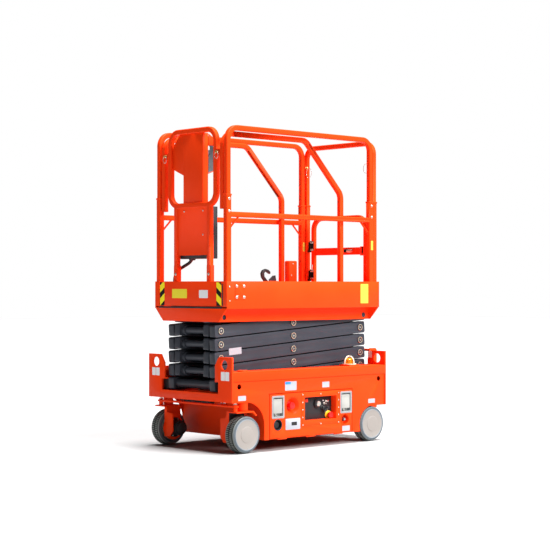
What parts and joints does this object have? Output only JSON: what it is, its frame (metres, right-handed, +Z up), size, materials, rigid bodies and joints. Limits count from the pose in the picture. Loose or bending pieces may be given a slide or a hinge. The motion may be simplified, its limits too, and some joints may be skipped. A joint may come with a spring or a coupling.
{
  "type": "slab scissor lift",
  "caption": "Compact electric scissor lift: stacked scissor arms raise a railed platform with a sliding extension deck from a steerable wheeled chassis.",
  "frame": {"origin": "on the floor, under the middle of the whole machine's box", "axes": "+X forward to the steered end, +Y to the side with the ground controls, +Z up"},
  "size_m": [1.44, 0.81, 2.014],
  "materials": {
    "orange_paint": "gloss",
    "arm_paint": "satin",
    "battery_case": "matte",
    "pump_paint": "satin",
    "amber_lens": "gloss",
    "cream_wire": "satin",
    "latch_steel": "satin",
    "black_plastic": "matte",
    "black_metal": "satin",
    "tyre_rubber": "matte",
    "hub_paint": "satin",
    "chrome_rod": "polished",
    "cable_sheath": "matte",
    "control_grey": "matte"
  },
  "bodies": {
    "chassis": {"side_beams": "orange_paint", "front_plate": "orange_paint", "rear_plate": "orange_paint", "lower_box": "orange_paint", "front_crossmember": "orange_paint", "entry_ladder": "orange_paint", "battery_pack": "battery_case", "hydraulic_unit": "pump_paint", "beacon_lens": "amber_lens", "beacon_guard": "cream_wire", "steer_barrel": "black_metal"},
    "left_door": {"door_left": "orange_paint", "latches_left": "latch_steel", "ground_panel": "black_plastic"},
    "right_door": {"door_right": "orange_paint", "latches_right": "latch_steel"},
    "left_knuckle": {"knuckle_left": "orange_paint", "drive_motor_left": "black_metal"},
    "right_knuckle": {"knuckle_right": "orange_paint", "drive_motor_right": "black_metal"},
    "front_left_wheel": {"tyre_front_left": "tyre_rubber", "hub_front_left": "hub_paint"},
    "front_right_wheel": {"tyre_front_right": "tyre_rubber", "hub_front_right": "hub_paint"},
    "rear_left_wheel": {"tyre_rear_left": "tyre_rubber", "hub_rear_left": "hub_paint"},
    "rear_right_wheel": {"tyre_rear_right": "tyre_rubber", "hub_rear_right": "hub_paint"},
    "steering_tie_bar": {"tie_bar": "orange_paint"},
    "steering_rod": {"steer_rod": "chrome_rod"},
    "inner_arms_1": {"inner_arm_1": "arm_paint"},
    "outer_arms_1": {"outer_arm_1": "arm_paint"},
    "inner_arms_2": {"inner_arm_2": "arm_paint"},
    "outer_arms_2": {"outer_arm_2": "arm_paint"},
    "inner_arms_3": {"inner_arm_3": "arm_paint"},
    "outer_arms_3": {"outer_arm_3": "arm_paint"},
    "inner_arms_4": {"inner_arm_4": "arm_paint"},
    "outer_arms_4": {"outer_arm_4": "arm_paint"},
    "inner_arms_5": {"inner_arm_5": "arm_paint"},
    "outer_arms_5": {"outer_arm_5": "arm_paint"},
    "lower_slides": {"lower_slide_blocks": "black_plastic"},
    "upper_slides": {"upper_slide_blocks": "black_plastic"},
    "lift_cylinder_barrel": {"lift_barrel": "arm_paint"},
    "lift_cylinder_rod": {"lift_rod": "chrome_rod"},
    "platform": {"platform_deck": "orange_paint", "toe_boards": "orange_paint", "rail_left": "orange_paint", "rail_right": "orange_paint", "rear_rail": "orange_paint", "socket_box": "orange_paint"},
    "extension": {"extension_deck": "orange_paint", "extension_rails": "orange_paint", "front_rail": "orange_paint", "control_column": "orange_paint", "control_box": "control_grey", "manual_box": "black_plastic", "control_cable": "cable_sheath", "lock_lever": "black_plastic"},
    "gate": {"gate_frame": "orange_paint", "gate_hinges": "black_metal"}
  },
  "joints": [
    {"name": "lift", "type": "hinge", "parent": "chassis", "child": "inner_arms_1", "pos_m": [-0.585, 0, 0.411], "axis": [0, -1, 0], "range_deg": [0, 42]},
    {"name": "stage_1_cross", "type": "hinge", "parent": "inner_arms_1", "child": "outer_arms_1", "pos_m": [0.035, 0, 0.4531], "axis": [0, -1, 0], "range_deg": [-84.05, 0]},
    {"name": "stage_2_rear", "type": "hinge", "parent": "outer_arms_1", "child": "inner_arms_2", "pos_m": [-0.585, 0, 0.4952], "axis": [0, -1, 0], "range_deg": [0, 84.05]},
    {"name": "stage_2_cross", "type": "hinge", "parent": "inner_arms_2", "child": "outer_arms_2", "pos_m": [0.035, 0, 0.5373], "axis": [0, -1, 0], "range_deg": [-84.05, 0]},
    {"name": "stage_3_front", "type": "hinge", "parent": "inner_arms_2", "child": "outer_arms_3", "pos_m": [0.655, 0, 0.5794], "axis": [0, -1, 0], "range_deg": [-84.05, 0]},
    {"name": "stage_3_cross", "type": "hinge", "parent": "outer_arms_3", "child": "inner_arms_3", "pos_m": [0.035, 0, 0.6215], "axis": [0, -1, 0], "range_deg": [0, 84.05]},
    {"name": "stage_4_rear", "type": "hinge", "parent": "outer_arms_3", "child": "inner_arms_4", "pos_m": [-0.585, 0, 0.6636], "axis": [0, -1, 0], "range_deg": [0, 84.05]},
    {"name": "stage_4_cross", "type": "hinge", "parent": "inner_arms_4", "child": "outer_arms_4", "pos_m": [0.035, 0, 0.7057], "axis": [0, -1, 0], "range_deg": [-84.05, 0]},
    {"name": "stage_5_front", "type": "hinge", "parent": "inner_arms_4", "child": "outer_arms_5", "pos_m": [0.655, 0, 0.7478], "axis": [0, -1, 0], "range_deg": [-84.05, 0]},
    {"name": "stage_5_cross", "type": "hinge", "parent": "outer_arms_5", "child": "inner_arms_5", "pos_m": [0.035, 0, 0.7899], "axis": [0, -1, 0], "range_deg": [0, 84.05]},
    {"name": "platform_pivot", "type": "hinge", "parent": "outer_arms_5", "child": "platform", "pos_m": [-0.585, 0, 0.832], "axis": [0, -1, 0], "range_deg": [0, 42.05]},
    {"name": "lower_slide_pivot", "type": "hinge", "parent": "outer_arms_1", "child": "lower_slides", "pos_m": [0.655, 0, 0.411], "axis": [0, -1, 0], "range_deg": [0, 42.05]},
    {"name": "upper_slide_pivot", "type": "hinge", "parent": "inner_arms_5", "child": "upper_slides", "pos_m": [0.655, 0, 0.832], "axis": [0, -1, 0], "range_deg": [-42.05, 0]},
    {"name": "lift_barrel_pivot", "type": "hinge", "parent": "inner_arms_2", "child": "lift_cylinder_barrel", "pos_m": [0.46401, 0, 0.56643], "axis": [0, -1, 0], "range_deg": [-97.58, 0]},
    {"name": "lift_rod_slide", "type": "slide", "parent": "lift_cylinder_barrel", "child": "lift_cylinder_rod", "axis": [-0.9919, 0, 0.1273], "range_m": [0, 0.4487]},
    {"name": "extension_slide", "type": "slide", "parent": "platform", "child": "extension", "axis": [1, 0, 0], "range_m": [0, 0.6]},
    {"name": "gate_swing", "type": "hinge", "parent": "platform", "child": "gate", "pos_m": [-0.617, -0.283, 1.2], "axis": [0, 0, -1], "range_deg": [0, 80], "stiffness_Nm_per_rad": 6, "springref_deg": -22.92},
    {"name": "steer", "type": "hinge", "parent": "chassis", "child": "left_knuckle", "pos_m": [0.595, 0.36, 0.3], "axis": [0, 0, 1], "range_deg": [-45, 45]},
    {"name": "steer_right", "type": "hinge", "parent": "chassis", "child": "right_knuckle", "pos_m": [0.595, -0.36, 0.3], "axis": [0, 0, 1], "range_deg": [-45.05, 45.05]},
    {"name": "tie_bar_pin", "type": "hinge", "parent": "left_knuckle", "child": "steering_tie_bar", "pos_m": [0.655, 0.36, 0.288], "axis": [0, 0, 1], "range_deg": [-45.05, 45.05]},
    {"name": "steer_rod_slide", "type": "slide", "parent": "chassis", "child": "steering_rod", "axis": [0, 1, 0], "range_m": [-0.0429, 0.0429]},
    {"name": "front_left_roll", "type": "hinge", "parent": "left_knuckle", "child": "front_left_wheel", "pos_m": [0.595, 0.36, 0.115], "axis": [0, 1, 0], "continuous": true},
    {"name": "front_right_roll", "type": "hinge", "parent": "right_knuckle", "child": "front_right_wheel", "pos_m": [0.595, -0.36, 0.115], "axis": [0, 1, 0], "continuous": true},
    {"name": "rear_left_roll", "type": "hinge", "parent": "chassis", "child": "rear_left_wheel", "pos_m": [-0.521, 0.36, 0.115], "axis": [0, 1, 0], "continuous": true},
    {"name": "rear_right_roll", "type": "hinge", "parent": "chassis", "child": "rear_right_wheel", "pos_m": [-0.521, -0.36, 0.115], "axis": [0, 1, 0], "continuous": true},
    {"name": "left_door_drop", "type": "hinge", "parent": "chassis", "child": "left_door", "pos_m": [0.035, 0.392, 0.072], "axis": [-1, 0, 0], "range_deg": [0, 90]},
    {"name": "right_door_drop", "type": "hinge", "parent": "chassis", "child": "right_door", "pos_m": [0.035, -0.392, 0.072], "axis": [1, 0, 0], "range_deg": [0, 90]}
  ],
  "couplings": [
    {"joint": "stage_1_cross", "follows": "lift", "ratio": -2},
    {"joint": "stage_2_rear", "follows": "lift", "ratio": 2},
    {"joint": "stage_2_cross", "follows": "lift", "ratio": -2},
    {"joint": "stage_3_front", "follows": "lift", "ratio": -2},
    {"joint": "stage_3_cross", "follows": "lift", "ratio": 2},
    {"joint": "stage_4_rear", "follows": "lift", "ratio": 2},
    {"joint": "stage_4_cross", "follows": "lift", "ratio": -2},
    {"joint": "stage_5_front", "follows": "lift", "ratio": -2},
    {"joint": "stage_5_cross", "follows": "lift", "ratio": 2},
    {"joint": "platform_pivot", "follows": "lift", "ratio": 1},
    {"joint": "lower_slide_pivot", "follows": "lift", "ratio": 1},
    {"joint": "upper_slide_pivot", "follows": "lift", "ratio": -1},
    {"joint": "lift_barrel_pivot", "follows": "lift", "ratio": -2.3222},
    {"joint": "lift_rod_slide", "follows": "lift", "m_per_rad": 0.60934},
    {"joint": "steer_right", "follows": "steer", "ratio": 1},
    {"joint": "tie_bar_pin", "follows": "steer", "ratio": -1},
    {"joint": "steer_rod_slide", "follows": "steer", "m_per_rad": 0.054019}
  ]
}
